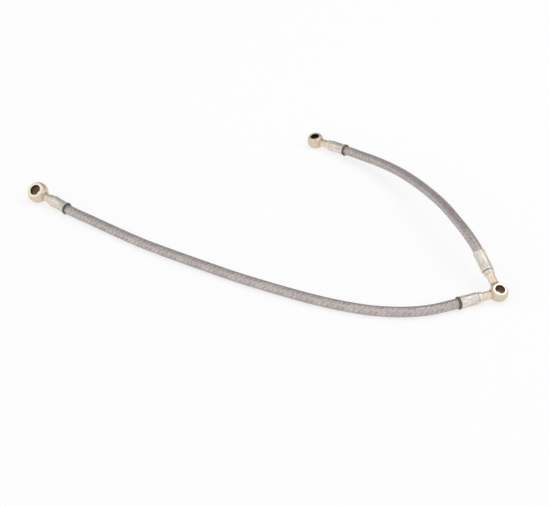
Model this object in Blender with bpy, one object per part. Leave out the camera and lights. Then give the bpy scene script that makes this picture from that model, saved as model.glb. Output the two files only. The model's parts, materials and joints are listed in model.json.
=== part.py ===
"""Compressor oil inlet pipe: a long and a short steel-braided hose between three banjo eyes.

The long hose runs from a large eye to a double eye, and the short hose from the double eye to a
small eye. Each hose end is crimped on the barbed tail of a stem that is brazed into its eye.
Metres, +Z up. The pipe lies on the plane z = 0, and the origin is under the middle of the box
that its metal fittings fill. +X runs along the long hose, towards the double eye.
"""

import math
from dataclasses import dataclass

import bmesh
import bpy
from mathutils import Matrix, Vector

# Spread of the eyes' centres: along x from the large eye to the double eye, and along y from
# the double eye to the small eye
PIPE_LENGTH = 0.5064
PIPE_WIDTH = 0.3411

# The spread at which the eyes' places and the hoses' routes are drawn. They stretch from it.
DRAWN_LENGTH = 0.5064
DRAWN_WIDTH = 0.3411

# Gap between pieces that touch on the real pipe
CLEARANCE = 0.0003

# Hose
HOSE_DIAMETER = 0.011
BRAID_THICKNESS = 0.0005
LINER_THICKNESS = 0.0015
LINER_DIAMETER = HOSE_DIAMETER - 2 * BRAID_THICKNESS - 2 * CLEARANCE

# Eyes: truncated balls with a bolt hole between two flat sealing faces
LARGE_BALL_DIAMETER = 0.024
LARGE_HOLE_DIAMETER = 0.0122
LARGE_EYE_WIDTH = 0.0155
SMALL_BALL_DIAMETER = 0.020
SMALL_HOLE_DIAMETER = 0.0102
SMALL_EYE_WIDTH = 0.0135
EYE_CHAMFER = 0.00025

# Stems: neck, collar, locking groove and barbed tail, turned from one bar
NECK_DIAMETER = 0.0095
SOCKET_DEPTH = 0.003
LARGE_NECK_LENGTH = 0.008
SMALL_NECK_LENGTH = 0.010
REAR_NECK_LENGTH = 0.012
COLLAR_DIAMETER = 0.012
COLLAR_LENGTH = 0.005
COLLAR_CHAMFER = 0.0006
LOCK_DIAMETER = 0.0072
TAIL_GAP = 0.00045
TAIL_DIAMETER = LINER_DIAMETER - 2 * LINER_THICKNESS - 2 * TAIL_GAP
TAIL_WALL = 0.00105
OIL_PASSAGE_DIAMETER = TAIL_DIAMETER - 2 * TAIL_WALL
BARB_DEPTH = 0.0003
BARB_PITCH = 0.004
BARB_COUNT = 3
TAIL_NOSE_LENGTH = 0.002

# Braze rings in the corner between neck and eye
BRAZE_HEIGHT = 0.0008
BRAZE_LENGTH = 0.0016
BRAZE_RIM = 0.00025
BRAZE_FEATHER = 0.00006

# Ferrules: the shell, its crimped waist, the waist's flats and the lip each stand this far out
# from the hose. The crimp's start is measured from the back, and its end from the mouth.
FERRULE_SHELL = 0.0012
FERRULE_CRIMP = 0.00105
FERRULE_FLAT = 0.00085
FERRULE_LIP = 0.00145
FERRULE_DIAMETER = HOSE_DIAMETER + 2 * FERRULE_SHELL
FERRULE_LENGTH = 0.020
REAR_FERRULE_LENGTH = 0.024
FERRULE_BACK_THICKNESS = 0.0015
CRIMP_DIAMETER = HOSE_DIAMETER + 2 * FERRULE_CRIMP
CRIMP_ACROSS_FLATS = HOSE_DIAMETER + 2 * FERRULE_FLAT
CRIMP_FLATS = 8
CRIMP_START = 0.0025
CRIMP_TO_MOUTH = 0.0035
CRIMP_RAMP = 0.0006
LIP_DIAMETER = HOSE_DIAMETER + 2 * FERRULE_LIP
LIP_LENGTH = 0.0014
LIP_RAMP = 0.0006
LIP_CHAMFER = 0.0003

# Rubber rings at the mouths of the ferrules
RING_HEIGHT = 0.0015
RING_DIAMETER = HOSE_DIAMETER + 2 * RING_HEIGHT
RING_WIDTH = 0.002
RING_CROWN = 0.0009

# Straight run of hose before its first bend, past the place of the ring
RING_TO_BEND = 0.001

# Steps round the turned pieces, and along the arcs of their sections
EYE_STEPS = 36
ROUND_STEPS = 24
BALL_ARC_STEPS = 6
BRAZE_ARC_STEPS = 3
RING_ARC_STEPS = 4

# Steps of the hoses: round them, between two points of a route, and along the finished tube
HOSE_BEVEL_RESOLUTION = 4
ROUTE_STEPS = 8
HOSE_SPACING = 2 * HOSE_DIAMETER

# Rounds in which an eye's height and the pitch of its neck settle together
SETTLING_ROUNDS = 20

# Points nearer than this are one point
MERGE_DISTANCE = 1e-6

# Edges that turn by more degrees than this are shaded sharp
SHARP_ANGLE = 35
FERRULE_SHARP_ANGLE = 25

# Route points of the long hose, from the large eye to the double eye: x, y and the height of
# its underside above the plane
LONG_ROUTE = (
    (-0.188, -0.0095, 0.0004),
    (-0.156, -0.0355, 0.0001),
    (-0.123, -0.0615, 0.0001),
    (-0.089, -0.0845, 0.0001),
    (-0.055, -0.1065, 0.0001),
    (-0.020, -0.1285, 0.0001),
    (0.016, -0.1485, 0.0001),
    (0.053, -0.1675, 0.0001),
    (0.091, -0.1835, 0.0001),
    (0.131, -0.1935, 0.0001),
    (0.172, -0.1935, 0.0006),
)

# Route points of the short hose, from the small eye to the double eye. It arches clear of the
# plane between its two fittings, as their attitude and its stiffness make it.
SHORT_ROUTE = (
    (0.1275, 0.1280, 0.0070),
    (0.1435, 0.1095, 0.0100),
    (0.1575, 0.0890, 0.0135),
    (0.1695, 0.0670, 0.0175),
    (0.1795, 0.0445, 0.0215),
    (0.1890, 0.0215, 0.0250),
    (0.1975, -0.0020, 0.0285),
    (0.2055, -0.0255, 0.0315),
    (0.2125, -0.0495, 0.0340),
    (0.2195, -0.0735, 0.0350),
    (0.2270, -0.0975, 0.0345),
)


@dataclass
class Eye:
    """A banjo eye: where its centre stands, the way of its first neck and its roll about it."""

    name: str
    x: float
    y: float
    heading: float
    roll: float
    ball: float
    hole: float
    width: float
    pitch: float | None = None


@dataclass
class Neck:
    """A stem, its ferrule and its hose end. Distances run from the eye's centre outwards."""

    name: str
    eye: Eye
    length: float
    ferrule_length: float = FERRULE_LENGTH
    turn: float = 0.0
    ringed: bool = True

    @property
    def socket_floor(self):
        return self.eye.ball / 2 - SOCKET_DEPTH

    @property
    def collar(self):
        return self.eye.ball / 2 + self.length

    @property
    def ferrule(self):
        return self.collar + COLLAR_LENGTH + CLEARANCE

    @property
    def hose_end(self):
        return self.ferrule + FERRULE_BACK_THICKNESS + CLEARANCE

    @property
    def mouth(self):
        return self.ferrule + self.ferrule_length

    @property
    def ring(self):
        return self.mouth + CLEARANCE

    @property
    def bend(self):
        return self.ring + RING_WIDTH + RING_TO_BEND

    @property
    def frame(self):
        return eye_frame(self.eye) @ Matrix.Rotation(math.radians(self.turn), 4, "Z")

    def point(self, distance):
        return self.frame @ Vector((distance, 0, 0))

    @property
    def way(self):
        return (self.frame.to_3x3() @ Vector((1, 0, 0))).normalized()


EYE_LEFT = Eye(
    "left", -0.2522, 0.0418, -38.5, -40, LARGE_BALL_DIAMETER, LARGE_HOLE_DIAMETER, LARGE_EYE_WIDTH
)
EYE_DOUBLE = Eye(
    "double", 0.2542, -0.1640, 200.5, 26, SMALL_BALL_DIAMETER, SMALL_HOLE_DIAMETER, SMALL_EYE_WIDTH
)
EYE_TOP = Eye(
    "top", 0.0717, 0.1771, -40, -12, SMALL_BALL_DIAMETER, SMALL_HOLE_DIAMETER, SMALL_EYE_WIDTH, 3
)

NECK_LEFT = Neck("left", EYE_LEFT, LARGE_NECK_LENGTH)
NECK_FRONT = Neck("double_front", EYE_DOUBLE, SMALL_NECK_LENGTH)
NECK_REAR = Neck(
    "double_rear", EYE_DOUBLE, REAR_NECK_LENGTH, REAR_FERRULE_LENGTH, turn=-90, ringed=False
)
NECK_TOP = Neck("top", EYE_TOP, SMALL_NECK_LENGTH)

EYES = (EYE_LEFT, EYE_DOUBLE, EYE_TOP)
NECKS = (NECK_LEFT, NECK_FRONT, NECK_REAR, NECK_TOP)

# Finishes: colour, metallic, roughness
FINISHES = {
    "yellow_zinc": ((0.72, 0.58, 0.38), 1.0, 0.30),
    "pale_zinc": ((0.66, 0.62, 0.52), 1.0, 0.38),
    "braze": ((0.62, 0.42, 0.22), 1.0, 0.45),
    "steel_braid": ((0.52, 0.48, 0.47), 1.0, 0.40),
    "liner_rubber": ((0.02, 0.02, 0.02), 0.0, 0.60),
    "ring_rubber": ((0.03, 0.025, 0.02), 0.0, 0.55),
}


def clear_scene():
    for obj in list(bpy.data.objects):
        bpy.data.objects.remove(obj, do_unlink=True)


def finish(name):
    """The Principled material of this name, made on first use."""
    material = bpy.data.materials.get(name)
    if material:
        return material
    color, metallic, roughness = FINISHES[name]
    material = bpy.data.materials.new(name)
    material.use_nodes = True
    shader = material.node_tree.nodes["Principled BSDF"]
    shader.inputs["Base Color"].default_value = (*color, 1)
    shader.inputs["Metallic"].default_value = metallic
    shader.inputs["Roughness"].default_value = roughness
    material.diffuse_color = (*color, 1)
    return material


def place(name, data, parent=None, material=None):
    """A new object of this data, in its parent's frame."""
    obj = bpy.data.objects.new(name, data)
    bpy.context.scene.collection.objects.link(obj)
    obj.parent = parent
    if material:
        data.materials.append(finish(material))
    return obj


def turned(name, outline, axis, steps, sharp=SHARP_ANGLE):
    """A mesh turned from a closed outline of (along the axis, radius) points."""
    bm = bmesh.new()
    if axis == "X":
        verts = [bm.verts.new((along, 0, radius)) for along, radius in outline]
        direction = (1, 0, 0)
    else:
        verts = [bm.verts.new((radius, 0, along)) for along, radius in outline]
        direction = (0, 0, 1)
    edges = [bm.edges.new((a, b)) for a, b in zip(verts, verts[1:] + verts[:1])]
    bmesh.ops.spin(
        bm,
        geom=verts + edges,
        cent=(0, 0, 0),
        axis=direction,
        angle=math.tau,
        steps=steps,
        use_merge=True,
    )
    bmesh.ops.remove_doubles(bm, verts=bm.verts, dist=MERGE_DISTANCE)
    bmesh.ops.dissolve_degenerate(bm, edges=bm.edges, dist=MERGE_DISTANCE)
    bmesh.ops.recalc_face_normals(bm, faces=bm.faces)
    mesh = bpy.data.meshes.new(name)
    bm.to_mesh(mesh)
    bm.free()
    mesh.shade_smooth()
    mesh.set_sharp_from_angle(angle=math.radians(sharp))
    return mesh


def eye_outline(eye):
    """Half the section of a ball cut by two planes, with its bolt hole."""
    half = eye.width / 2
    hole = eye.hole / 2
    ball = eye.ball / 2
    rim = math.asin(half / ball)
    rim_rounding = EYE_CHAMFER / ball
    outline = [(-half + EYE_CHAMFER, hole), (half - EYE_CHAMFER, hole)]
    outline.append((half, hole + EYE_CHAMFER))
    outline.append((half, ball * math.cos(rim) - EYE_CHAMFER / 2))
    for step in range(BALL_ARC_STEPS + 1):
        angle = (rim - rim_rounding) * (1 - 2 * step / BALL_ARC_STEPS)
        outline.append((ball * math.sin(angle), ball * math.cos(angle)))
    outline.append((-half, ball * math.cos(rim) - EYE_CHAMFER / 2))
    outline.append((-half, hole + EYE_CHAMFER))
    return outline


def on_plan(x, y):
    """A drawn place at the pipe's own length and width."""
    return x * PIPE_LENGTH / DRAWN_LENGTH, y * PIPE_WIDTH / DRAWN_WIDTH


def standing_height(eye, lean):
    """How high the centre stands when the bore leans this far and the rim touches the plane."""
    return max(
        radius * math.sin(lean) + along * math.cos(lean) for along, radius in eye_outline(eye)
    )


def eye_lean(eye, pitch):
    return math.acos(math.cos(math.radians(eye.roll)) * math.cos(pitch))


def resting_pitch(eye):
    """The first neck's pitch, so that both the eye and the rubber ring lie on the plane."""
    if eye.pitch is not None:
        return math.radians(eye.pitch)
    first_neck = next(neck for neck in NECKS if neck.eye is eye)
    ring_middle = first_neck.ring + RING_WIDTH / 2
    pitch = 0.0
    for _ in range(SETTLING_ROUNDS):
        height = standing_height(eye, eye_lean(eye, pitch))
        pitch = math.asin((RING_DIAMETER / 2 * math.cos(pitch) - height) / ring_middle)
    return pitch


def eye_frame(eye):
    """The eye's place: X along its first neck, Z along its bolt hole."""
    pitch = resting_pitch(eye)
    height = standing_height(eye, eye_lean(eye, pitch))
    heading = math.radians(eye.heading)
    roll = math.radians(eye.roll)
    along = Vector(
        (
            math.cos(heading) * math.cos(pitch),
            math.sin(heading) * math.cos(pitch),
            math.sin(pitch),
        )
    )
    level = Vector((-math.sin(heading), math.cos(heading), 0))
    bore = along.cross(level) * math.cos(roll) + level * math.sin(roll)
    turn = Matrix((along, bore.cross(along), bore)).transposed()
    return Matrix.Translation((*on_plan(eye.x, eye.y), height)) @ turn.to_4x4()


def stem_outline(neck):
    """The stem's half section from the brazed end out along the neck and tail, and back inside."""
    bore = OIL_PASSAGE_DIAMETER / 2
    collar_end = neck.collar + COLLAR_LENGTH
    tail_start = neck.hose_end - CLEARANCE
    barbs_end = tail_start + BARB_COUNT * BARB_PITCH
    root = TAIL_DIAMETER / 2 - BARB_DEPTH
    outline = [
        (neck.socket_floor + CLEARANCE, bore),
        (neck.socket_floor + CLEARANCE, NECK_DIAMETER / 2),
        (neck.collar - COLLAR_CHAMFER, NECK_DIAMETER / 2),
        (neck.collar, COLLAR_DIAMETER / 2 - COLLAR_CHAMFER),
        (neck.collar + COLLAR_CHAMFER, COLLAR_DIAMETER / 2),
        (collar_end - COLLAR_CHAMFER, COLLAR_DIAMETER / 2),
        (collar_end, COLLAR_DIAMETER / 2 - COLLAR_CHAMFER),
        (collar_end, LOCK_DIAMETER / 2),
        (tail_start, LOCK_DIAMETER / 2),
        (tail_start, root),
    ]
    for barb in range(BARB_COUNT):
        start = tail_start + barb * BARB_PITCH
        outline.append((start + BARB_PITCH / 2, TAIL_DIAMETER / 2))
        outline.append((start + BARB_PITCH, root))
    outline.append((barbs_end + TAIL_NOSE_LENGTH, root - BARB_DEPTH))
    outline.append((barbs_end + TAIL_NOSE_LENGTH, bore))
    return outline


def socket_outline(neck):
    """The cut that seats the stem in the ball and opens it to the bolt hole."""
    passage = OIL_PASSAGE_DIAMETER / 2
    socket = NECK_DIAMETER / 2 + CLEARANCE
    return [
        (0, 0),
        (0, passage),
        (neck.socket_floor, passage),
        (neck.socket_floor, socket),
        (neck.eye.ball / 2 + SOCKET_DEPTH, socket),
        (neck.eye.ball / 2 + SOCKET_DEPTH, 0),
    ]


def braze_outline(neck):
    """A fillet round the neck, hollow on its outer side, on the ball's surface."""
    inner = NECK_DIAMETER / 2 + CLEARANCE
    ball = neck.eye.ball / 2 + CLEARANCE
    outer = inner + BRAZE_HEIGHT
    foot = math.sqrt(ball**2 - inner**2)
    edge = math.sqrt(ball**2 - outer**2)
    rim = edge + BRAZE_RIM
    tip = foot + BRAZE_LENGTH
    outline = [(foot, inner), (edge, outer)]
    for step in range(BRAZE_ARC_STEPS + 1):
        angle = math.pi / 2 * step / BRAZE_ARC_STEPS
        along = rim + (tip - rim) * (1 - math.cos(angle))
        radius = outer - (BRAZE_HEIGHT - BRAZE_FEATHER) * math.sin(angle)
        outline.append((along, radius))
    outline.append((tip, inner))
    return outline


def ferrule_outline(neck):
    """The ferrule's half section: back, crimped waist and flared lip."""
    start = neck.ferrule
    end = neck.mouth
    crimp_start = start + CRIMP_START
    crimp_end = end - CRIMP_TO_MOUTH
    lip_start = end - LIP_LENGTH
    outer = FERRULE_DIAMETER / 2
    crimp = CRIMP_DIAMETER / 2
    lip = LIP_DIAMETER / 2
    inside = HOSE_DIAMETER / 2 + CLEARANCE
    return [
        (start, LOCK_DIAMETER / 2 + CLEARANCE),
        (start, outer - CRIMP_RAMP),
        (start + CRIMP_RAMP, outer),
        (crimp_start, outer),
        (crimp_start + CRIMP_RAMP, crimp),
        (crimp_end, crimp),
        (crimp_end + CRIMP_RAMP, outer),
        (lip_start, outer),
        (lip_start + LIP_RAMP, lip),
        (end - LIP_CHAMFER, lip),
        (end, lip - LIP_CHAMFER),
        (end, inside),
        (start + FERRULE_BACK_THICKNESS, inside),
        (start + FERRULE_BACK_THICKNESS, LOCK_DIAMETER / 2 + CLEARANCE),
    ]


def press_crimp_flats(mesh, neck):
    """Press the waist's vertices in to eight flats."""
    sector = math.tau / CRIMP_FLATS
    low = neck.ferrule + CRIMP_START + CRIMP_RAMP / 2
    high = neck.mouth - CRIMP_TO_MOUTH + CRIMP_RAMP / 2
    for vert in mesh.vertices:
        radius = math.hypot(vert.co.y, vert.co.z)
        if not low < vert.co.x < high or radius < CRIMP_ACROSS_FLATS / 2:
            continue
        angle = math.atan2(vert.co.z, vert.co.y)
        from_flat = (angle + sector / 2) % sector - sector / 2
        pressed = min(radius, CRIMP_ACROSS_FLATS / 2 / math.cos(from_flat))
        vert.co.y *= pressed / radius
        vert.co.z *= pressed / radius


def ring_outline(neck):
    """A rubber ring with a rounded outer side."""
    inner = HOSE_DIAMETER / 2 + CLEARANCE
    shoulder = RING_DIAMETER / 2 - RING_CROWN
    outline = [(neck.ring, inner)]
    for step in range(RING_ARC_STEPS + 1):
        angle = math.pi * step / RING_ARC_STEPS
        along = neck.ring + RING_WIDTH / 2 * (1 - math.cos(angle))
        outline.append((along, shoulder + RING_CROWN * math.sin(angle)))
    outline.append((neck.ring + RING_WIDTH, inner))
    return outline


def build_eye(eye):
    seat = place(f"seat_{eye.name}", None)
    seat.matrix_world = eye_frame(eye)
    body = place(
        f"eye_{eye.name}", turned("eye", eye_outline(eye), "Z", EYE_STEPS), seat, "yellow_zinc"
    )
    for neck in NECKS:
        if neck.eye is not eye:
            continue
        axis = place(f"axis_{neck.name}", None, seat)
        axis.rotation_euler.z = math.radians(neck.turn)
        cutter = place(
            f"cutter_{neck.name}", turned("socket", socket_outline(neck), "X", ROUND_STEPS), axis
        )
        cutter.hide_render = True
        cutter.display_type = "WIRE"
        cut = body.modifiers.new(f"socket_{neck.name}", "BOOLEAN")
        cut.operation = "DIFFERENCE"
        cut.object = cutter
        build_neck(neck, axis)


def build_neck(neck, axis):
    place(
        f"stem_{neck.name}",
        turned("stem", stem_outline(neck), "X", ROUND_STEPS),
        axis,
        "yellow_zinc",
    )
    place(f"braze_{neck.name}", turned("braze", braze_outline(neck), "X", ROUND_STEPS), axis, "braze")
    ferrule = turned("ferrule", ferrule_outline(neck), "X", ROUND_STEPS, FERRULE_SHARP_ANGLE)
    press_crimp_flats(ferrule, neck)
    place(f"ferrule_{neck.name}", ferrule, axis, "pale_zinc")
    if neck.ringed:
        place(
            f"rubber_ring_{neck.name}",
            turned("ring", ring_outline(neck), "X", ROUND_STEPS),
            axis,
            "ring_rubber",
        )


def smooth_curve(points, start_way, end_way):
    """Dense points on a smooth curve through these points, which leaves and ends on the given ways."""
    ways = [start_way]
    for before, here, after in zip(points, points[1:], points[2:]):
        first = here - before
        second = after - here
        share = first.length + second.length
        ways.append(
            (first * second.length / first.length + second * first.length / second.length) / share
        )
    ways.append(end_way)
    dense = []
    for index in range(len(points) - 1):
        start, end = points[index], points[index + 1]
        reach = (end - start).length
        for step in range(ROUTE_STEPS):
            t = step / ROUTE_STEPS
            dense.append(
                start * (2 * t**3 - 3 * t**2 + 1)
                + ways[index] * (t**3 - 2 * t**2 + t) * reach
                + end * (3 * t**2 - 2 * t**3)
                + ways[index + 1] * (t**3 - t**2) * reach
            )
    dense.append(points[-1])
    return dense


def evenly_spaced(points, spacing):
    """Points read from a dense line at about this spacing, with both ends kept."""
    lengths = [(b - a).length for a, b in zip(points, points[1:])]
    total = sum(lengths)
    count = round(total / spacing)
    picked = [points[0]]
    travelled = 0.0
    wanted = total / count
    for (start, end), length in zip(zip(points, points[1:]), lengths):
        while travelled + length > wanted and len(picked) < count:
            picked.append(start.lerp(end, (wanted - travelled) / length))
            wanted = total * len(picked) / count
        travelled += length
    picked.append(points[-1])
    return picked


def hose_line(route, start, end):
    """The hose's centre line from its cut end in one ferrule to its cut end in the other."""
    lying = HOSE_DIAMETER / 2
    middle = [Vector((*on_plan(x, y), lying + rise)) for x, y, rise in route]
    points = [start.point(start.bend), *middle, end.point(end.bend)]
    free = evenly_spaced(smooth_curve(points, start.way, -end.way), HOSE_SPACING)
    return [start.point(start.hose_end), *free, end.point(end.hose_end)]


def tube(name, line, diameter, wall, material):
    """A hollow tube along the line: a curve with a round bevel, given its wall inwards."""
    curve = bpy.data.curves.new(name, "CURVE")
    curve.dimensions = "3D"
    curve.bevel_depth = diameter / 2
    curve.bevel_resolution = HOSE_BEVEL_RESOLUTION
    spline = curve.splines.new("POLY")
    spline.points.add(len(line) - 1)
    for point, place_of in zip(spline.points, line):
        point.co = (*place_of, 1)
    obj = place(name, curve, None, material)
    shell = obj.modifiers.new("wall", "SOLIDIFY")
    shell.thickness = wall
    shell.offset = -1
    shell.use_even_offset = True
    return obj


def build_hose(name, route, start, end):
    line = hose_line(route, start, end)
    tube(f"{name}_braid", line, HOSE_DIAMETER, BRAID_THICKNESS, "steel_braid")
    tube(f"{name}_liner", line, LINER_DIAMETER, LINER_THICKNESS, "liner_rubber")


def main():
    clear_scene()
    for eye in EYES:
        build_eye(eye)
    build_hose("long_hose", LONG_ROUTE, NECK_LEFT, NECK_FRONT)
    build_hose("short_hose", SHORT_ROUTE, NECK_TOP, NECK_REAR)


main()
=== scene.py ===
"""Looks of the compressor oil inlet pipe: woven steel braid, plated banjo eyes, crimped ferrules."""

import json
import math
import random

import bpy
import numpy as np
from mathutils import Matrix, Vector


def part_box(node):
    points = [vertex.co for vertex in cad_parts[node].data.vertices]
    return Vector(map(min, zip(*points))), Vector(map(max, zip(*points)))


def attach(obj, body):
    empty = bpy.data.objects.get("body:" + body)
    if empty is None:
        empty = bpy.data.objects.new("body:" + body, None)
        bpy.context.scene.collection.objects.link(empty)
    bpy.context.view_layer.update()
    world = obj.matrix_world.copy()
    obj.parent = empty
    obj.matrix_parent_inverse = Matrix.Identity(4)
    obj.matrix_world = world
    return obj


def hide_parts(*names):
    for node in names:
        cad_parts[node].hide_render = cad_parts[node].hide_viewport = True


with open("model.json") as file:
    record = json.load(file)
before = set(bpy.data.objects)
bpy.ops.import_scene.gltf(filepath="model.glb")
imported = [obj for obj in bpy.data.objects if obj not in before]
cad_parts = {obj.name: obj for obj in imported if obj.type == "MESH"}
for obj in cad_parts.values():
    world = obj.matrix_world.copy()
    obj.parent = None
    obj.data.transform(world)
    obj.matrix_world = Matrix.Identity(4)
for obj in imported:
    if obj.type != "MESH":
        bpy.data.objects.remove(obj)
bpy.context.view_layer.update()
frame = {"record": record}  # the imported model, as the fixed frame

# Picture: the camera looks down on the pipe from the front
PICTURE_WIDTH = 549
FOCAL_PIXELS = 1500
SENSOR_WIDTH = 36
CAMERA_PLACE = (0.02095, -1.46584, 0.87121)
CAMERA_DOWN = 32

# Gap between pieces that touch on the real pipe
CLEARANCE = 0.0003

# Hoses
HOSE_DIAMETER = 0.011
LINER_DIAMETER = 0.0099
LINER_WALL = 0.0015
RING_TO_BEND = 0.001

# Braid: flat bundles of wire, as many wound one way as the other
BUNDLES_EACH_WAY = 12
WIRES_IN_BUNDLE = 6
BRAID_ANGLE = math.radians(45)
BUNDLE_WIDTH = 0.00182
BUNDLE_EDGE_DROP = 0.00016
BUNDLE_DIP = 0.00030
STEPS_BETWEEN_CROSSINGS = 2
BRIGHT_BUNDLE = 0.5  # how much of a bundle's tone comes from which bundle it is, and not from chance
WIRE_SHARP_ANGLE = math.radians(60)

# Eyes
LARGE_BALL_DIAMETER = 0.024
LARGE_HOLE_DIAMETER = 0.0122
LARGE_EYE_WIDTH = 0.0155
SMALL_BALL_DIAMETER = 0.020
SMALL_HOLE_DIAMETER = 0.0102
SMALL_EYE_WIDTH = 0.0135
EYE_CHAMFER = 0.00025

# Stems
NECK_DIAMETER = 0.0095
SOCKET_DEPTH = 0.003
LARGE_NECK_LENGTH = 0.008
SMALL_NECK_LENGTH = 0.010
REAR_NECK_LENGTH = 0.012
COLLAR_DIAMETER = 0.012
COLLAR_LENGTH = 0.005
COLLAR_CHAMFER = 0.0005
COLLAR_GROOVE_WIDTH = 0.0005
COLLAR_GROOVE_DEPTH = 0.00035
COLLAR_GROOVE_PLACE = 0.0008
LOCK_DIAMETER = 0.0072
TAIL_DIAMETER = 0.0055
OIL_PASSAGE_DIAMETER = 0.0034
BARB_DEPTH = 0.0003
BARB_PITCH = 0.004
BARB_COUNT = 3
TAIL_NOSE_LENGTH = 0.002

# Braze between neck and ball
BRAZE_HEIGHT = 0.0010
BRAZE_LENGTH = 0.0016
BRAZE_STEPS = 6

# Ferrules
FERRULE_DIAMETER = 0.0134
FERRULE_LENGTH = 0.020
REAR_FERRULE_LENGTH = 0.024
FERRULE_BACK_THICKNESS = 0.0015
CRIMP_DIAMETER = 0.0131
CRIMP_ACROSS_FLATS = 0.0127
CRIMP_FLATS = 8
CRIMP_START = 0.0025
CRIMP_TO_MOUTH = 0.0035
CRIMP_RAMP = 0.0006
LIP_DIAMETER = 0.0139
LIP_LENGTH = 0.0014
LIP_CHAMFER = 0.0003

# Rubber rings
RING_DIAMETER = 0.0140
RING_WIDTH = 0.002
RING_CROWN = 0.0009
RING_STEPS = 8

# Route points of the long hose, from the large eye to the double eye: x, y and the height of
# its underside above the floor
LONG_ROUTE = (
    (-0.188, -0.0095, 0.0004),
    (-0.156, -0.0355, 0.0001),
    (-0.123, -0.0615, 0.0001),
    (-0.089, -0.0845, 0.0001),
    (-0.055, -0.1065, 0.0001),
    (-0.020, -0.1285, 0.0001),
    (0.016, -0.1485, 0.0001),
    (0.053, -0.1675, 0.0001),
    (0.091, -0.1835, 0.0001),
    (0.131, -0.1935, 0.0001),
    (0.172, -0.1935, 0.0006),
)

# Route points of the short hose, from the small eye to the double eye
SHORT_ROUTE = (
    (0.1275, 0.1280, 0.0070),
    (0.1435, 0.1095, 0.0100),
    (0.1575, 0.0890, 0.0135),
    (0.1695, 0.0670, 0.0175),
    (0.1795, 0.0445, 0.0215),
    (0.1890, 0.0215, 0.0250),
    (0.1975, -0.0020, 0.0285),
    (0.2055, -0.0255, 0.0315),
    (0.2125, -0.0495, 0.0340),
    (0.2195, -0.0735, 0.0350),
    (0.2270, -0.0975, 0.0345),
)

# Fineness of the meshes
ROUND_SIDES = 96
BALL_STEPS = 16
ROUTE_STEPS = 24
LINE_SPACING = 0.001
LINE_SMOOTHING_ROUNDS = 12
LINER_SIDES = 32
LINER_SPACING = 0.004
SHARP_ANGLE = math.radians(32)
EYE_EDGE_ROUNDING = 0.00012
STEM_EDGE_ROUNDING = 0.00006
FERRULE_EDGE_ROUNDING = 0.000096
SAME_POINT = 1e-7

# Floor: what it gives the object as light, and what the camera and the metal see of it
FLOOR_SIZE = 14
FLOOR_PALE = (0.85, 0.85, 0.86)
FLOOR_WHITE = (1.15, 1.15, 1.16)
FLOOR_GLOW = 0.7

# Lamp and surrounding light
LAMP_SIZE = 1.3
LAMP_PLACE = (0.7, 0.25, 2.0)
LAMP_POWER = 5
BRIGHT_SIDES = ((-0.70, -0.45, 0.55), (0.66, -0.52, 0.54))
STUDIO_LEVELS = ((0.0, 0.36), (0.45, 0.37), (0.67, 0.51), (0.80, 0.66), (0.88, 0.88), (0.98, 1.12))
STUDIO_FILL = 0.9
HORIZON_RISE = (0.09, 0.26)
HORIZON_WHITE = 0.935

# Colours of the finishes, from the dark to the light parts of their clouds
YELLOW_ZINC = (
    (0.25, (0.62, 0.49, 0.39)),
    (0.42, (0.76, 0.65, 0.53)),
    (0.55, (0.70, 0.62, 0.48)),
    (0.66, (0.82, 0.74, 0.61)),
    (0.8, (0.78, 0.66, 0.58)),
)
PINK_ZINC = (
    (0.25, (0.74, 0.53, 0.42)),
    (0.42, (0.90, 0.74, 0.62)),
    (0.55, (0.78, 0.66, 0.50)),
    (0.66, (0.92, 0.83, 0.72)),
    (0.8, (0.88, 0.72, 0.65)),
)
PALE_ZINC = ((0.3, (0.72, 0.66, 0.60)), (0.6, (0.86, 0.80, 0.73)), (0.8, (0.90, 0.85, 0.78)))
MACHINED_FACE = ((0.3, (0.88, 0.77, 0.58)), (0.7, (0.94, 0.86, 0.70)))
# Bolt hole: painted shade, a dark brown that stands for the shade deep inside the hole
BOLT_HOLE_PAINTED_SHADE = ((0.3, (0.095, 0.046, 0.021)), (0.7, (0.17, 0.098, 0.046)))
BRASS = ((0.3, (0.48, 0.36, 0.28)), (0.7, (0.72, 0.58, 0.46)))
RING_RUBBER = ((0.35, (0.095, 0.074, 0.058)), (0.7, (0.18, 0.148, 0.125)))
LINER_RUBBER = ((0.3, (0.03, 0.026, 0.024)), (0.7, (0.055, 0.05, 0.047)))
BUNDLE_TONES = ((0.0, (0.49, 0.445, 0.435)), (1.0, (0.80, 0.74, 0.725)))
BRAID_CLOUDS = ((0.3, (0.90, 0.87, 0.87)), (0.7, (1.0, 0.99, 0.97)))


class Fitting:
    """A hose end: the eye's centre, the way out of the eye, and distances along that way."""

    def __init__(self, name, eye, ball, neck_length, ferrule_length=FERRULE_LENGTH):
        self.name = name
        self.centre = middle_of(f"eye_{eye}")
        self.way = (middle_of(f"ferrule_{name}") - self.centre).normalized()
        self.bore = seat_axis(eye)
        self.ball = ball / 2
        self.collar = self.ball + neck_length
        self.ferrule = self.collar + COLLAR_LENGTH + CLEARANCE
        self.ferrule_length = ferrule_length
        self.hose_end = self.ferrule + FERRULE_BACK_THICKNESS + CLEARANCE
        self.ring = self.ferrule + ferrule_length + CLEARANCE
        self.bend = self.ring + RING_WIDTH + RING_TO_BEND

    def point(self, distance):
        return self.centre + self.way * distance

    def place(self):
        """Where a piece drawn along Z from the eye's centre belongs, with X along the bolt hole."""
        across = self.way.cross(self.bore)
        turn = Matrix((self.bore, across, self.way)).transposed().to_4x4()
        return Matrix.Translation(self.centre) @ turn


def middle_of(node):
    low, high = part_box(node)
    return (low + high) / 2


def seat_axis(eye):
    """The way of an eye's bolt hole, from the record of its upper sealing face."""
    for mount in frame["record"]["mounts"]:
        if mount["name"] == f"{eye}_eye_upper_seat":
            return Vector(mount["axis"]).normalized()


# Camera

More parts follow.
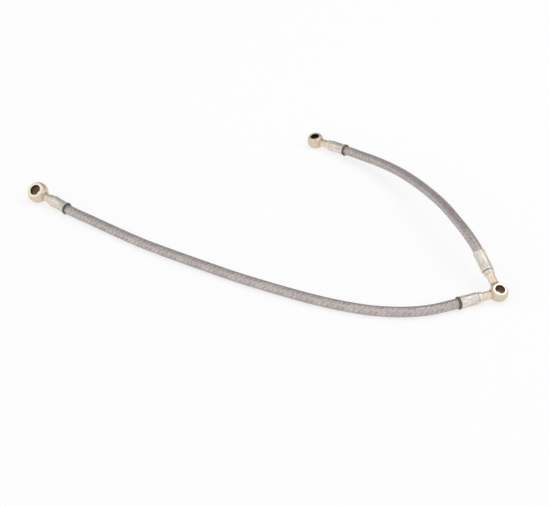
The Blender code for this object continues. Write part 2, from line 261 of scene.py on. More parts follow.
def set_camera():
    data = bpy.data.cameras.new("camera")
    data.sensor_width = SENSOR_WIDTH
    data.lens = SENSOR_WIDTH * FOCAL_PIXELS / PICTURE_WIDTH
    camera = bpy.data.objects.new("camera", data)
    camera.location = CAMERA_PLACE
    camera.rotation_euler = (math.radians(90 - CAMERA_DOWN), 0, 0)
    bpy.context.scene.collection.objects.link(camera)
    bpy.context.scene.camera = camera


# Materials

RANGE_INPUTS = ("From Min", "From Max", "To Min", "To Max")


def fill_ramp(ramp, stops):
    """Colours along a ramp: stops of (place, colour)."""
    elements = ramp.color_ramp.elements
    while len(elements) < len(stops):
        elements.new(0.5)
    for element, (place, colour) in zip(elements, stops):
        element.position = place
        element.color = (*colour, 1)


class Finish:
    """A material under construction: its nodes, and the shader that they feed."""

    def __init__(self, name, metallic, roughness):
        self.material = bpy.data.materials.new(name)
        self.material.use_nodes = True
        self.tree = self.material.node_tree
        self.shader = self.tree.nodes["Principled BSDF"]
        self.shader.inputs["Metallic"].default_value = metallic
        self.shader.inputs["Roughness"].default_value = roughness
        self.height = None

    def node(self, kind, **settings):
        made = self.tree.nodes.new(kind)
        for name, value in settings.items():
            setattr(made, name, value)
        return made

    def join(self, source, target):
        self.tree.links.new(source, target)

    def object_place(self):
        return self.node("ShaderNodeTexCoord").outputs["Object"]

    def made_place(self):
        return self.node("ShaderNodeAttribute", attribute_name="made_place").outputs["Vector"]

    def noise(self, source, scale, detail=3, rough=0.5):
        noise = self.node("ShaderNodeTexNoise")
        noise.inputs["Scale"].default_value = scale
        noise.inputs["Detail"].default_value = detail
        noise.inputs["Roughness"].default_value = rough
        self.join(source, noise.inputs["Vector"])
        return noise.outputs["Fac"]

    def ramp(self, source, stops):
        ramp = self.node("ShaderNodeValToRGB")
        fill_ramp(ramp, stops)
        self.join(source, ramp.inputs["Fac"])
        return ramp.outputs["Color"]

    def spread(self, source, low, high, to_low, to_high):
        """The factor between low and high, carried to another range."""
        spread = self.node("ShaderNodeMapRange")
        for name, value in zip(RANGE_INPUTS, (low, high, to_low, to_high)):
            spread.inputs[name].default_value = value
        self.join(source, spread.inputs["Value"])
        return spread.outputs["Result"]

    def mix(self, factor, first, second, blend="MIX"):
        mix = self.node("ShaderNodeMix", data_type="RGBA", blend_type=blend)
        sockets = (mix.inputs[0], mix.inputs[6], mix.inputs[7])
        for source, socket in zip((factor, first, second), sockets):
            if isinstance(source, float):
                socket.default_value = source
            elif isinstance(source, tuple):
                socket.default_value = (*source, 1)
            else:
                self.join(source, socket)
        return mix.outputs[2]

    def math(self, operation, first, second=0.0):
        made = self.node("ShaderNodeMath", operation=operation)
        for source, socket in zip((first, second), made.inputs):
            if isinstance(source, (int, float)):
                socket.default_value = source
            else:
                self.join(source, socket)
        return made.outputs[0]

    def shade(self, colour, factor):
        """The colour made darker or lighter by a factor."""
        grey = self.node("ShaderNodeCombineColor")
        for channel in grey.inputs:
            self.join(factor, channel)
        return self.mix(1.0, colour, grey.outputs[0], "MULTIPLY")

    def colour(self, source):
        self.join(source, self.shader.inputs["Base Color"])

    def roughness(self, source):
        self.join(source, self.shader.inputs["Roughness"])

    def bump(self, source, depth, strength=1.0):
        """Adds relief of this depth in metres to what the finish has."""
        bump = self.node("ShaderNodeBump")
        bump.inputs["Strength"].default_value = strength
        bump.inputs["Distance"].default_value = depth
        self.join(source, bump.inputs["Height"])
        if self.height:
            self.join(self.height, bump.inputs["Normal"])
        self.height = bump.outputs["Normal"]
        self.join(self.height, self.shader.inputs["Normal"])


def turning_marks(finish, along):
    """Fine rings left by the lathe, uneven from one to the next."""
    made = finish.made_place()
    parts = finish.node("ShaderNodeSeparateXYZ")
    finish.join(made, parts.inputs[0])
    combine = finish.node("ShaderNodeCombineXYZ")
    finish.join(parts.outputs[along], combine.inputs[2])
    return finish.noise(combine.outputs[0], 5200, 2)


def press_streaks(finish):
    """Faint streaks that the crimping jaws drew along the ferrule."""
    made = finish.made_place()
    mapping = finish.node("ShaderNodeMapping")
    mapping.inputs["Scale"].default_value = (1, 1, 0.12)
    finish.join(made, mapping.inputs["Vector"])
    return finish.noise(mapping.outputs["Vector"], 650, 2)


def plated_steel(name, stops, marks="Z", roughness=(0.24, 0.42), pressed=False):
    """Zinc plate with its coloured passivation in soft clouds, over turned steel."""
    finish = Finish(name, 1.0, roughness[0])
    place = finish.object_place()
    clouds = finish.noise(place, 150, 3, 0.55)
    colour = finish.ramp(clouds, stops)
    specks = finish.spread(finish.noise(place, 1300, 2), 0.36, 0.62, 0.86, 1.06)
    if pressed:
        streaks = finish.spread(press_streaks(finish), 0.36, 0.56, 0.80, 1.0)
        specks = finish.math("MULTIPLY", specks, streaks)
    finish.colour(finish.shade(colour, specks))
    smears = finish.noise(place, 420, 4)
    finish.roughness(finish.spread(smears, 0.3, 0.7, *roughness))
    finish.bump(turning_marks(finish, marks), 0.00003, 0.5)
    finish.bump(finish.noise(place, 2200, 2), 0.00002, 0.35)
    return finish.material


def ring_rubber():
    finish = Finish("moulded_rubber", 0.0, 0.4)
    place = finish.object_place()
    finish.colour(finish.ramp(finish.noise(place, 300), RING_RUBBER))
    finish.roughness(finish.spread(finish.noise(place, 700), 0.3, 0.7, 0.22, 0.36))
    finish.bump(finish.noise(place, 2600, 3), 0.00004, 0.5)
    return finish.material


def hose_rubber():
    finish = Finish("hose_liner_rubber", 0.0, 0.6)
    place = finish.object_place()
    finish.colour(finish.ramp(finish.noise(place, 400), LINER_RUBBER))
    finish.bump(finish.noise(place, 1500, 2), 0.00004, 0.4)
    return finish.material


def braid_wire():
    """Stainless wire: fine wires side by side in each bundle, with painted shade in the grooves
    between them, and bundles that differ a little.
    """
    finish = Finish("stainless_braid_wire", 1.0, 0.38)
    place = finish.object_place()
    map_uv = finish.node("ShaderNodeUVMap", uv_map="wires").outputs["UV"]
    parts = finish.node("ShaderNodeSeparateXYZ")
    finish.join(map_uv, parts.inputs[0])
    across = finish.math("MULTIPLY", parts.outputs["X"], math.pi * WIRES_IN_BUNDLE)
    round_top = finish.math("ABSOLUTE", finish.math("SINE", across))
    tone = finish.node("ShaderNodeAttribute", attribute_name="bundle_tone").outputs["Fac"]
    clouds = finish.ramp(finish.noise(place, 45, 3), BRAID_CLOUDS)
    tinted = finish.mix(1.0, finish.ramp(tone, BUNDLE_TONES), clouds, "MULTIPLY")
    # Painted shade: the colour darkens to 0.45 in the grooves between neighbouring wires
    shade_between_wires = finish.spread(round_top, 0.0, 0.8, 0.45, 1.0)
    finish.colour(finish.shade(tinted, shade_between_wires))
    finish.roughness(finish.spread(finish.noise(place, 900), 0.3, 0.7, 0.24, 0.38))
    finish.bump(round_top, 0.00009, 0.6)
    return finish.material


def floor_white():
    """A pale floor that the camera and the metal see as white, with the pipe's shadow on it."""
    finish = Finish("pale_floor", 0.0, 0.9)
    diffuse = finish.node("ShaderNodeBsdfDiffuse")
    path = finish.node("ShaderNodeLightPath")
    seen = finish.math("MAXIMUM", path.outputs["Is Camera Ray"], path.outputs["Is Glossy Ray"])
    seen = finish.math("MAXIMUM", seen, path.outputs["Is Transmission Ray"])
    finish.join(finish.mix(seen, FLOOR_PALE, FLOOR_WHITE), diffuse.inputs["Color"])
    glow = finish.node("ShaderNodeEmission")
    blend = finish.node("ShaderNodeMixShader")
    finish.join(finish.math("MULTIPLY", seen, FLOOR_GLOW), blend.inputs[0])
    finish.join(diffuse.outputs[0], blend.inputs[1])
    finish.join(glow.outputs[0], blend.inputs[2])
    finish.tree.nodes.remove(finish.shader)
    finish.join(blend.outputs[0], finish.tree.nodes["Material Output"].inputs["Surface"])
    return finish.material


# Modelling

def select_only(piece):
    bpy.ops.object.select_all(action="DESELECT")
    piece.select_set(True)
    bpy.context.view_layer.objects.active = piece


def draw_round(name, outline, sides=ROUND_SIDES):
    """A round piece drawn ring by ring from a circle, along a closed outline of (along, radius)."""
    bpy.ops.object.select_all(action="DESELECT")
    along, radius = outline[0]
    bpy.ops.mesh.primitive_circle_add(vertices=sides, radius=radius, location=(0, 0, along))
    piece = bpy.context.object
    piece.name = name
    bpy.ops.object.transform_apply(location=True, rotation=True, scale=True)
    bpy.ops.object.mode_set(mode="EDIT")
    bpy.ops.mesh.select_all(action="SELECT")
    for next_along, next_radius in outline[1:]:
        step = (0, 0, next_along - along)
        bpy.ops.mesh.extrude_region_move(TRANSFORM_OT_translate={"value": step})
        share = next_radius / radius
        bpy.ops.transform.resize(value=(share, share, 1), center_override=(0, 0, next_along))
        along, radius = next_along, next_radius
    bpy.ops.mesh.select_all(action="DESELECT")
    bpy.ops.mesh.select_non_manifold()
    bpy.ops.mesh.bridge_edge_loops()
    bpy.ops.mesh.select_all(action="SELECT")
    bpy.ops.mesh.remove_doubles(threshold=SAME_POINT)
    bpy.ops.mesh.normals_make_consistent(inside=False)
    bpy.ops.object.mode_set(mode="OBJECT")
    return piece


def round_edges(piece, width):
    """Takes the sharpness off every edge, as plating and handling do."""
    select_only(piece)
    bevel = piece.modifiers.new("rounding", "BEVEL")
    bevel.width = width
    bevel.segments = 2
    bevel.limit_method = "ANGLE"
    bevel.angle_limit = SHARP_ANGLE
    bpy.ops.object.modifier_apply(modifier=bevel.name)


def paint(piece, material, chosen=None):
    """Gives the piece this finish, or only the faces for which chosen(face) is true."""
    piece.data.materials.append(material)
    slot = len(piece.data.materials) - 1
    for face in piece.data.polygons:
        if chosen is None or chosen(face):
            face.material_index = slot


def note_places(piece):
    """Shades the piece, and notes where each point was made, for the marks that follow its axis."""
    select_only(piece)
    bpy.ops.object.shade_smooth_by_angle(angle=SHARP_ANGLE)
    made = piece.data.attributes.new("made_place", "FLOAT_VECTOR", "POINT")
    places = np.empty(len(piece.data.vertices) * 3, np.float32)
    piece.data.vertices.foreach_get("co", places)
    made.data.foreach_set("vector", places)


def settle(piece, place, node):
    """Carries a piece from where it was made to its place, where it stands for its CAD node."""
    piece.matrix_world = place
    select_only(piece)
    bpy.ops.object.transform_apply(location=True, rotation=True, scale=True)
    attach(piece, "root")
    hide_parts(node)


# Eyes

def eye_outline(ball, hole, width):
    """Half the section of a ball cut by two planes, with its bolt hole."""
    half = width / 2
    inner = hole / 2
    rim = math.asin(half / (ball / 2))
    rim_rounding = EYE_CHAMFER / (ball / 2)
    face_edge = ball / 2 * math.cos(rim) - EYE_CHAMFER / 2
    outline = [
        (-half, face_edge),
        (-half, inner + EYE_CHAMFER),
        (-half + EYE_CHAMFER, inner),
        (half - EYE_CHAMFER, inner),
        (half, inner + EYE_CHAMFER),
        (half, face_edge),
    ]
    for step in range(BALL_STEPS + 1):
        angle = (rim - rim_rounding) * (1 - 2 * step / BALL_STEPS)
        outline.append((ball / 2 * math.sin(angle), ball / 2 * math.cos(angle)))
    return outline


def drill(piece, diameter, start, end, place):
    """Takes a round hole out of a piece, from start to end along Z of the place."""
    bpy.ops.object.select_all(action="DESELECT")
    bpy.ops.mesh.primitive_cylinder_add(
        vertices=ROUND_SIDES,
        radius=diameter / 2,
        depth=end - start,
        location=(0, 0, (start + end) / 2),
    )
    bit = bpy.context.object
    bpy.ops.object.transform_apply(location=True, rotation=True, scale=True)
    bit.matrix_world = place
    select_only(piece)
    hole = piece.modifiers.new("hole", "BOOLEAN")
    hole.operation = "DIFFERENCE"
    hole.solver = "EXACT"
    hole.object = bit
    bpy.ops.object.modifier_apply(modifier=hole.name)
    bpy.data.objects.remove(bit)


def make_eye(name, sizes, fittings, finishes):
    """A ball with two sealing faces and a bolt hole, drilled for each fitting's stem and oil."""
    ball, hole, width = sizes
    bore = fittings[0].bore
    way = fittings[0].way
    turn = Matrix((way, bore.cross(way), bore)).transposed().to_4x4()
    place = Matrix.Translation(fittings[0].centre) @ turn
    eye = draw_round(f"{name}_eye_body", eye_outline(ball, hole, width))
    round_edges(eye, EYE_EDGE_ROUNDING)
    for fitting in fittings:
        away = place.inverted() @ fitting.place()
        drill(eye, OIL_PASSAGE_DIAMETER, 0, ball / 2 + SOCKET_DEPTH, away)
        drill(eye, NECK_DIAMETER, ball / 2 - SOCKET_DEPTH, ball / 2 + SOCKET_DEPTH, away)
    eye.data.materials.clear()
    paint(eye, finishes["ball"])
    paint(eye, finishes["seat"], lambda face: abs(face.center.z) > width / 2 - EYE_CHAMFER / 4)
    # the bolt hole's faces get the painted shade of the hole
    paint(
        eye,
        finishes["bore"],
        lambda face: math.hypot(face.center.x, face.center.y) < hole / 2 + EYE_CHAMFER / 4,
    )
    note_places(eye)
    settle(eye, place, f"eye_{name}")


# Stems

def stem_outline(fitting):
    """The stem's half section: brazed end, neck, grooved collar, lock groove and barbed tail."""
    bore = OIL_PASSAGE_DIAMETER / 2
    neck = NECK_DIAMETER / 2
    collar = COLLAR_DIAMETER / 2
    lock = LOCK_DIAMETER / 2
    start = fitting.collar
    end = start + COLLAR_LENGTH
    outline = [
        (fitting.ball - SOCKET_DEPTH, bore),
        (fitting.ball - SOCKET_DEPTH, neck - CLEARANCE / 10),
        (start - CLEARANCE, neck - CLEARANCE / 10),
        (start, neck + CLEARANCE),
        (start, collar - COLLAR_CHAMFER),
        (start + COLLAR_CHAMFER, collar),
    ]
    for groove in (start + COLLAR_GROOVE_PLACE, end - COLLAR_GROOVE_PLACE - COLLAR_GROOVE_WIDTH):
        outline.append((groove, collar))
        outline.append((groove + COLLAR_GROOVE_WIDTH / 4, collar - COLLAR_GROOVE_DEPTH))
        outline.append((groove + COLLAR_GROOVE_WIDTH * 3 / 4, collar - COLLAR_GROOVE_DEPTH))
        outline.append((groove + COLLAR_GROOVE_WIDTH, collar))
    tail = fitting.hose_end - CLEARANCE
    root = TAIL_DIAMETER / 2 - BARB_DEPTH
    outline += [
        (end - COLLAR_CHAMFER, collar),
        (end, collar - COLLAR_CHAMFER),
        (end, lock),
        (tail, lock),
        (tail, root),
    ]
    for barb in range(BARB_COUNT):
        outline.append((tail + (barb + 0.5) * BARB_PITCH, TAIL_DIAMETER / 2))
        outline.append((tail + (barb + 1) * BARB_PITCH, root))
    nose = tail + BARB_COUNT * BARB_PITCH + TAIL_NOSE_LENGTH
    outline += [(nose, root - BARB_DEPTH), (nose, bore)]
    return outline


def make_stem(fitting, finishes):
    stem = draw_round(f"{fitting.name}_stem_turned", stem_outline(fitting))
    round_edges(stem, STEM_EDGE_ROUNDING)
    stem.data.materials.clear()
    paint(stem, finishes["neck"])
    paint(stem, finishes["collar"], lambda face: face.center.z > fitting.collar - CLEARANCE)
    note_places(stem)
    settle(stem, fitting.place(), f"stem_{fitting.name}")


def make_braze(fitting, finish):
    """The fillet that flowed into the corner between neck and ball."""
    neck = NECK_DIAMETER / 2
    reach = neck + BRAZE_HEIGHT
    foot = math.sqrt(fitting.ball**2 - reach**2)
    inside = math.sqrt(fitting.ball**2 - neck**2) - CLEARANCE
    tip = foot + BRAZE_HEIGHT + BRAZE_LENGTH
    outline = [
        (inside, neck - CLEARANCE),
        (foot - CLEARANCE / 2, reach - CLEARANCE / 2),
        (foot, reach),
    ]
    for step in range(1, BRAZE_STEPS + 1):
        angle = math.pi / 2 * step / BRAZE_STEPS
        along = foot + (tip - foot) * (1 - math.cos(angle))
        outline.append((along, reach - BRAZE_HEIGHT * math.sin(angle)))
    outline.append((tip, neck - CLEARANCE))
    braze = draw_round(f"{fitting.name}_braze_fillet", outline)
    braze.data.materials.clear()
    paint(braze, finish)
    note_places(braze)
    settle(braze, fitting.place(), f"braze_{fitting.name}")


# Ferrules

def ferrule_outline(fitting):
    """The ferrule's half section: back, crimped waist, shoulder and flared lip."""
    start = fitting.ferrule
    end = start + fitting.ferrule_length
    outer = FERRULE_DIAMETER / 2
    crimp = CRIMP_DIAMETER / 2
    lip = LIP_DIAMETER / 2
    lock = LOCK_DIAMETER / 2 + CLEARANCE
    inside = HOSE_DIAMETER / 2 + CLEARANCE
    crimp_end = end - CRIMP_TO_MOUTH
    return [
        (start, lock),
        (start, outer - CRIMP_RAMP),
        (start + CRIMP_RAMP / 3, outer - CRIMP_RAMP / 3),
        (start + CRIMP_RAMP, outer),
        (start + CRIMP_START, outer),
        (start + CRIMP_START + CRIMP_RAMP, crimp),
        (crimp_end, crimp),
        (crimp_end + CRIMP_RAMP, outer),
        (end - LIP_LENGTH, outer),
        (end - LIP_LENGTH + CRIMP_RAMP, lip),
        (end - LIP_CHAMFER, lip),
        (end, lip - LIP_CHAMFER),
        (end, inside),
        (start + FERRULE_BACK_THICKNESS, inside),
        (start + FERRULE_BACK_THICKNESS, lock),
    ]


def press_flats(ferrule, fitting):
    """Presses the waist flat under each jaw of the crimping tool, turning the piece in between."""
    low = fitting.ferrule + CRIMP_START + CRIMP_RAMP / 2
    high = fitting.ferrule + fitting.ferrule_length - CRIMP_TO_MOUTH + CRIMP_RAMP / 2
    flat = CRIMP_ACROSS_FLATS / 2
    select_only(ferrule)
    bpy.ops.object.mode_set(mode="EDIT")
    bpy.ops.mesh.select_mode(type="VERT")
    for _ in range(CRIMP_FLATS):
        bpy.ops.mesh.select_all(action="DESELECT")
        bpy.ops.object.mode_set(mode="OBJECT")
        for point in ferrule.data.vertices:
            point.select = low < point.co.z < high and point.co.x > flat
        bpy.ops.object.mode_set(mode="EDIT")
        bpy.ops.transform.resize(value=(0, 1, 1), center_override=(flat, 0, 0))
        bpy.ops.mesh.select_all(action="SELECT")
        bpy.ops.transform.rotate(
            value=math.tau / CRIMP_FLATS, orient_axis="Z", center_override=(0, 0, 0)
        )
    bpy.ops.object.mode_set(mode="OBJECT")


def make_ferrule(fitting, finish):
    ferrule = draw_round(f"{fitting.name}_ferrule_crimped", ferrule_outline(fitting))
    press_flats(ferrule, fitting)
    round_edges(ferrule, FERRULE_EDGE_ROUNDING)
    ferrule.data.materials.clear()
    paint(ferrule, finish)
    note_places(ferrule)
    settle(ferrule, fitting.place(), f"ferrule_{fitting.name}")


# Rubber rings

def make_ring(fitting, finish):
    inner = HOSE_DIAMETER / 2 + CLEARANCE / 3
    shoulder = RING_DIAMETER / 2 - RING_CROWN
    outline = [(fitting.ring, inner)]
    for step in range(RING_STEPS + 1):
        angle = math.pi * step / RING_STEPS
        along = fitting.ring + RING_WIDTH / 2 * (1 - math.cos(angle))
        outline.append((along, shoulder + RING_CROWN * math.sin(angle)))
    outline.append((fitting.ring + RING_WIDTH, inner))
    ring = draw_round(f"{fitting.name}_ring_moulded", outline)
    ring.data.materials.clear()
    paint(ring, finish)
    note_places(ring)
    settle(ring, fitting.place(), f"rubber_ring_{fitting.name}")


# Hoses

def smooth_curve(points, start_way, end_way):
    """Dense points on a smooth curve through these, which leaves and ends on the given ways."""
    ways = [start_way]
    for before, here, after in zip(points, points[1:], points[2:]):
        first = here - before
        second = after - here
        way = first * second.length / first.length + second * first.length / second.length
        ways.append(way / (first.length + second.length))
    ways.append(end_way)
    dense = []
    for index in range(len(points) - 1):
        start, end = points[index], points[index + 1]
        reach = (end - start).length
        for step in range(ROUTE_STEPS):
            t = step / ROUTE_STEPS
            dense.append(
                start * (2 * t**3 - 3 * t**2 + 1)
                + ways[index] * (t**3 - 2 * t**2 + t) * reach
                + end * (3 * t**2 - 2 * t**3)
                + ways[index + 1] * (t**3 - t**2) * reach
            )
    dense.append(points[-1])
    return dense


class HoseLine:
    """The hose's centre line at an even spacing, and how far round it is turned at each point."""

    def __init__(self, route, start, end):
        lying = HOSE_DIAMETER / 2
        middle = [Vector((x, y, lying + rise)) for x, y, rise in route]
        points = [start.point(start.bend), *middle, end.point(end.bend)]
        curve = smooth_curve(points, start.way, -end.way)
        dense = np.array([start.point(start.hose_end), *curve, end.point(end.hose_end)])
        lengths = np.concatenate([[0], np.cumsum(np.linalg.norm(np.diff(dense, axis=0), axis=1))])
        count = round(lengths[-1] / LINE_SPACING)
        even = np.linspace(0, lengths[-1], count + 1)
        line = np.stack([np.interp(even, lengths, dense[:, axis]) for axis in range(3)], axis=1)
        for _ in range(LINE_SMOOTHING_ROUNDS):
            line[1:-1] += (line[:-2] + line[2:] - 2 * line[1:-1]) / 4
        self.points = line
        self.along = np.concatenate([[0], np.cumsum(np.linalg.norm(np.diff(line, axis=0), axis=1))])
        self.length = float(self.along[-1])
        ways = np.gradient(line, axis=0)
        self.ways = ways / np.linalg.norm(ways, axis=1)[:, None]
        self.sides = self.untwisted_sides()

    def untwisted_sides(self):
        """A way to the side at each point, carried along the line without turning about it."""
        side = np.cross(self.ways[0], (0, 0, 1))
        sides = []
        for way in self.ways:
            side = side - way * np.dot(side, way)
            side = side / np.linalg.norm(side)
            sides.append(side)
        return np.array(sides)

    def surface(self, along, angle, radius):
        """Points at these lengths along the line, angles round it and distances from it."""
        def read(values):
            read_axes = [np.interp(along, self.along, values[:, axis]) for axis in range(3)]
            return np.stack(read_axes, axis=-1)

        centre, way, side = read(self.points), read(self.ways), read(self.sides)
        over = np.cross(side, way)
        before = np.minimum(along, 0)[..., None] + np.maximum(along - self.length, 0)[..., None]
        return (
            centre
            + way * before
            + side * (radius * np.cos(angle))[..., None]
            + over * (radius * np.sin(angle))[..., None]
        )


def mesh_piece(name, points, faces):
    mesh = bpy.data.meshes.new(name)
    corners = faces.reshape(-1, faces.shape[-1])
    mesh.from_pydata(points.reshape(-1, 3).tolist(), [], corners.tolist())
    mesh.update()
    piece = bpy.data.objects.new(name, mesh)
    bpy.context.scene.collection.objects.link(piece)
    return piece


def point_outwards(piece):
    select_only(piece)
    bpy.ops.object.mode_set(mode="EDIT")
    bpy.ops.mesh.select_all(action="SELECT")
    bpy.ops.mesh.normals_make_consistent(inside=False)
    bpy.ops.object.mode_set(mode="OBJECT")


def make_liner(name, line, finish):
    """The rubber hose under the braid, with its wall and its cut ends."""
    count = round(line.length / LINER_SPACING)
    along = np.linspace(0, line.length, count + 1)
    angles = np.arange(LINER_SIDES) * math.tau / LINER_SIDES
    along, angles = np.meshgrid(along, angles, indexing="ij")
    outer_radius = np.full(along.shape, LINER_DIAMETER / 2)
    outer = line.surface(along, angles, outer_radius)
    inner = line.surface(along, angles, outer_radius - LINER_WALL)
    loop = np.concatenate([outer, inner[::-1]])
    rows = len(loop)
    faces = []
    for row in range(rows):
        here = row * LINER_SIDES + np.arange(LINER_SIDES)
        there = ((row + 1) % rows) * LINER_SIDES + np.arange(LINER_SIDES)
        faces.append(np.stack([here, np.roll(here, -1), np.roll(there, -1), there], axis=1))
    piece = mesh_piece(f"{name}_liner_tube", loop, np.concatenate(faces))
    point_outwards(piece)
    bpy.ops.object.shade_smooth_by_angle(angle=SHARP_ANGLE)
    paint(piece, finish)
    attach(piece, "root")
    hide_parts(f"{name}_liner")
    return piece


def make_braid(name, line, finish):
    """Flat bundles of wire wound both ways round the hose, each over two others and under two."""
    shuffle = random.Random(name)
    mean_radius = (HOSE_DIAMETER - BUNDLE_DIP) / 2
    lead = math.tau * mean_radius / math.tan(BRAID_ANGLE)
    crossing = lead / (2 * BUNDLES_EACH_WAY)
    crossings = math.floor(line.length / crossing)
    steps = np.arange(crossings * STEPS_BETWEEN_CROSSINGS + 1)
    places = steps / STEPS_BETWEEN_CROSSINGS
    spacing = line.length / places[-1]
    section = np.array([-0.5, -0.25, 0.25, 0.5])
    drop = np.array([BUNDLE_EDGE_DROP, 0, 0, BUNDLE_EDGE_DROP])
    points, faces, uvs, tones = [], [], [], []
    for hand in (1, -1):
        for bundle in range(BUNDLES_EACH_WAY):
            number = np.arange(-1, crossings + 2)
            own = bundle if hand == 1 else (bundle - number) % BUNDLES_EACH_WAY
            over = (number + 2 * own) % 4 < 2
            over = over if hand == 1 else ~over
            dips = np.interp(places, number, np.where(over, 0.0, BUNDLE_DIP))
            slant = hand * section * BUNDLE_WIDTH * math.sin(BRAID_ANGLE)
            along = places[:, None] * spacing - slant
            turns = bundle / BUNDLES_EACH_WAY + hand * places[:, None] * crossing / lead
            breadth = section * BUNDLE_WIDTH * math.cos(BRAID_ANGLE) / mean_radius
            angle = math.tau * turns + breadth
            radius = HOSE_DIAMETER / 2 - dips[:, None] - drop
            points.append(line.surface(along, angle, radius))
            first = len(steps) * 4 * (len(points) - 1)
            corner = first + steps[:-1, None] * 4 + np.arange(4)
            beside = first + steps[:-1, None] * 4 + (np.arange(4) + 1) % 4
            quads = np.stack([corner, beside, beside + 4, corner + 4], axis=-1).reshape(-1, 4)
            caps = np.array([[first, first + 1, first + 2, first + 3]])
            caps = np.concatenate([caps[:, ::-1], caps + (len(steps) - 1) * 4])
            faces.append(np.concatenate([quads, caps]))
            across = np.broadcast_to(section + 0.5, (len(steps), 4))
            distance = np.broadcast_to(places[:, None] * crossing / BUNDLE_WIDTH, (len(steps), 4))
            uvs.append(np.stack([across, distance], axis=-1).reshape(-1, 2))
            bright = BRIGHT_BUNDLE * (bundle % 2) if hand == 1 else BRIGHT_BUNDLE / 2
            tone = bright + (1 - BRIGHT_BUNDLE) * shuffle.random()
            tones.append(np.full(len(steps) * 4, tone, np.float32))
    points = np.concatenate([rows.reshape(-1, 3) for rows in points])
    piece = mesh_piece(f"{name}_braid_woven", points, np.concatenate(faces))
    mesh = piece.data
    corners = np.empty(len(mesh.loops), np.int32)
    mesh.loops.foreach_get("vertex_index", corners)
    wires = mesh.uv_layers.new(name="wires")
    wires.data.foreach_set("uv", np.concatenate(uvs)[corners].astype(np.float32).reshape(-1))
    bundle_tone = mesh.attributes.new("bundle_tone", "FLOAT", "POINT")
    bundle_tone.data.foreach_set("value", np.concatenate(tones))
    point_outwards(piece)
    bpy.ops.object.shade_smooth_by_angle(angle=WIRE_SHARP_ANGLE)
    paint(piece, finish)
    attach(piece, "root")
    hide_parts(f"{name}_braid")
    return piece


def make_hose(name, route, start, end, finishes):
    line = HoseLine(route, start, end)
    braid = make_braid(name, line, finishes["braid"])
    liner = make_liner(name, line, finishes["liner"])


# Studio

def make_floor():
    bpy.ops.object.select_all(action="DESELECT")
    bpy.ops.mesh.primitive_plane_add(size=FLOOR_SIZE)
    floor = bpy.context.object
    floor.name = "floor"
    floor.data.materials.append(floor_white())


def hang_lamp():
    lamp_data = bpy.data.lights.new("soft_lamp", "AREA")
    lamp_data.shape = "SQUARE"
    lamp_data.size = LAMP_SIZE
    lamp_data.energy = LAMP_POWER
    lamp = bpy.data.objects.new("soft_lamp", lamp_data)
    lamp.location = LAMP_PLACE
    lamp.rotation_euler = Vector(LAMP_PLACE).to_track_quat("Z", "Y").to_euler()
    bpy.context.scene.collection.objects.link(lamp)


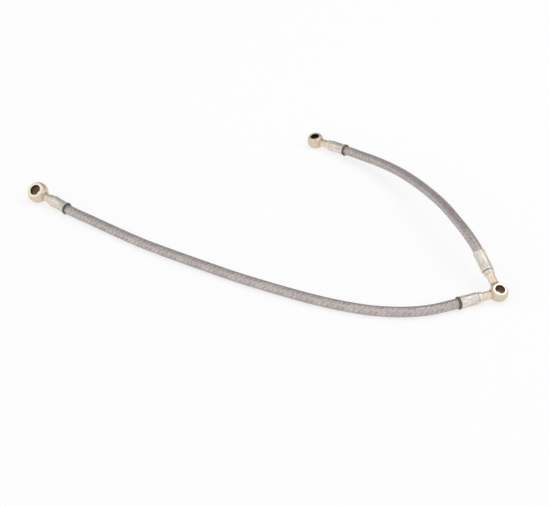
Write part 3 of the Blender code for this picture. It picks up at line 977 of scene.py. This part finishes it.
def light_surroundings():
    """Two bright sides, a dim back, and a horizon as white as the floor at its end."""
    world = bpy.data.worlds.new("studio")
    bpy.context.scene.world = world
    world.use_nodes = True
    tree = world.node_tree
    direction = tree.nodes.new("ShaderNodeTexCoord").outputs["Generated"]
    nearer = tree.nodes.new("ShaderNodeMath")
    nearer.operation = "MAXIMUM"
    for side, socket in zip(BRIGHT_SIDES, nearer.inputs):
        facing = tree.nodes.new("ShaderNodeVectorMath")
        facing.operation = "DOT_PRODUCT"
        facing.inputs[1].default_value = side
        tree.links.new(direction, facing.inputs[0])
        tree.links.new(facing.outputs["Value"], socket)
    spread = tree.nodes.new("ShaderNodeMapRange")
    spread.inputs["From Min"].default_value = -1
    tree.links.new(nearer.outputs["Value"], spread.inputs["Value"])
    ramp = tree.nodes.new("ShaderNodeValToRGB")
    fill_ramp(ramp, [(place, (level, level, level)) for place, level in STUDIO_LEVELS])
    tree.links.new(spread.outputs["Result"], ramp.inputs["Fac"])
    height = tree.nodes.new("ShaderNodeSeparateXYZ")
    tree.links.new(direction, height.inputs[0])
    horizon = tree.nodes.new("ShaderNodeMapRange")
    horizon.interpolation_type = "SMOOTHSTEP"
    for name, value in zip(RANGE_INPUTS, (*HORIZON_RISE, 1, 0)):
        horizon.inputs[name].default_value = value
    tree.links.new(height.outputs["Z"], horizon.inputs["Value"])
    whitened = tree.nodes.new("ShaderNodeMix")
    whitened.data_type = "RGBA"
    whitened.inputs[7].default_value = (HORIZON_WHITE, HORIZON_WHITE, HORIZON_WHITE, 1)
    tree.links.new(horizon.outputs["Result"], whitened.inputs[0])
    tree.links.new(ramp.outputs["Color"], whitened.inputs[6])
    background = tree.nodes["Background"]
    tree.links.new(whitened.outputs[2], background.inputs["Color"])
    path = tree.nodes.new("ShaderNodeLightPath")
    strength = tree.nodes.new("ShaderNodeMapRange")
    strength.inputs["To Min"].default_value = STUDIO_FILL
    seen = path.outputs["Is Camera Ray"]
    for ray in ("Is Glossy Ray", "Is Transmission Ray"):
        either = tree.nodes.new("ShaderNodeMath")
        either.operation = "MAXIMUM"
        tree.links.new(seen, either.inputs[0])
        tree.links.new(path.outputs[ray], either.inputs[1])
        seen = either.outputs[0]
    tree.links.new(seen, strength.inputs["Value"])
    tree.links.new(strength.outputs["Result"], background.inputs["Strength"])


def main():
    set_camera()
    left = Fitting("left", "left", LARGE_BALL_DIAMETER, LARGE_NECK_LENGTH)
    front = Fitting("double_front", "double", SMALL_BALL_DIAMETER, SMALL_NECK_LENGTH)
    rear = Fitting(
        "double_rear", "double", SMALL_BALL_DIAMETER, REAR_NECK_LENGTH, REAR_FERRULE_LENGTH
    )
    top = Fitting("top", "top", SMALL_BALL_DIAMETER, SMALL_NECK_LENGTH)

    hose_finishes = {"braid": braid_wire(), "liner": hose_rubber()}
    make_hose("long_hose", LONG_ROUTE, left, front, hose_finishes)
    make_hose("short_hose", SHORT_ROUTE, top, rear, hose_finishes)

    eye_finishes = {
        "ball": plated_steel("yellow_zinc_on_turned_ball", YELLOW_ZINC),
        "seat": plated_steel("machined_sealing_face", MACHINED_FACE, "X", (0.2, 0.34)),
        # the bolt hole's finish is painted shade: dark brown for the shade inside the hole
        "bore": plated_steel("bolt_hole_painted_shade", BOLT_HOLE_PAINTED_SHADE, "Z", (0.3, 0.45)),
    }
    stem_finishes = {
        "neck": plated_steel("pink_and_yellow_zinc_on_neck", PINK_ZINC),
        "collar": plated_steel("pale_zinc_on_collar", PALE_ZINC),
    }
    crimped = plated_steel("pale_zinc_on_ferrule", PALE_ZINC, "Z", (0.3, 0.46), pressed=True)
    fillet = plated_steel("brass_braze", BRASS, "Z", (0.32, 0.5))
    rubber = ring_rubber()

    large = (LARGE_BALL_DIAMETER, LARGE_HOLE_DIAMETER, LARGE_EYE_WIDTH)
    small = (SMALL_BALL_DIAMETER, SMALL_HOLE_DIAMETER, SMALL_EYE_WIDTH)
    make_eye("left", large, (left,), eye_finishes)
    make_eye("double", small, (front, rear), eye_finishes)
    make_eye("top", small, (top,), eye_finishes)
    for fitting in (left, front, rear, top):
        make_stem(fitting, stem_finishes)
        make_braze(fitting, fillet)
        make_ferrule(fitting, crimped)
    for fitting in (left, front, top):
        make_ring(fitting, rubber)

    make_floor()
    hang_lamp()
    light_surroundings()
    bpy.context.scene.view_settings.view_transform = "Standard"


main()
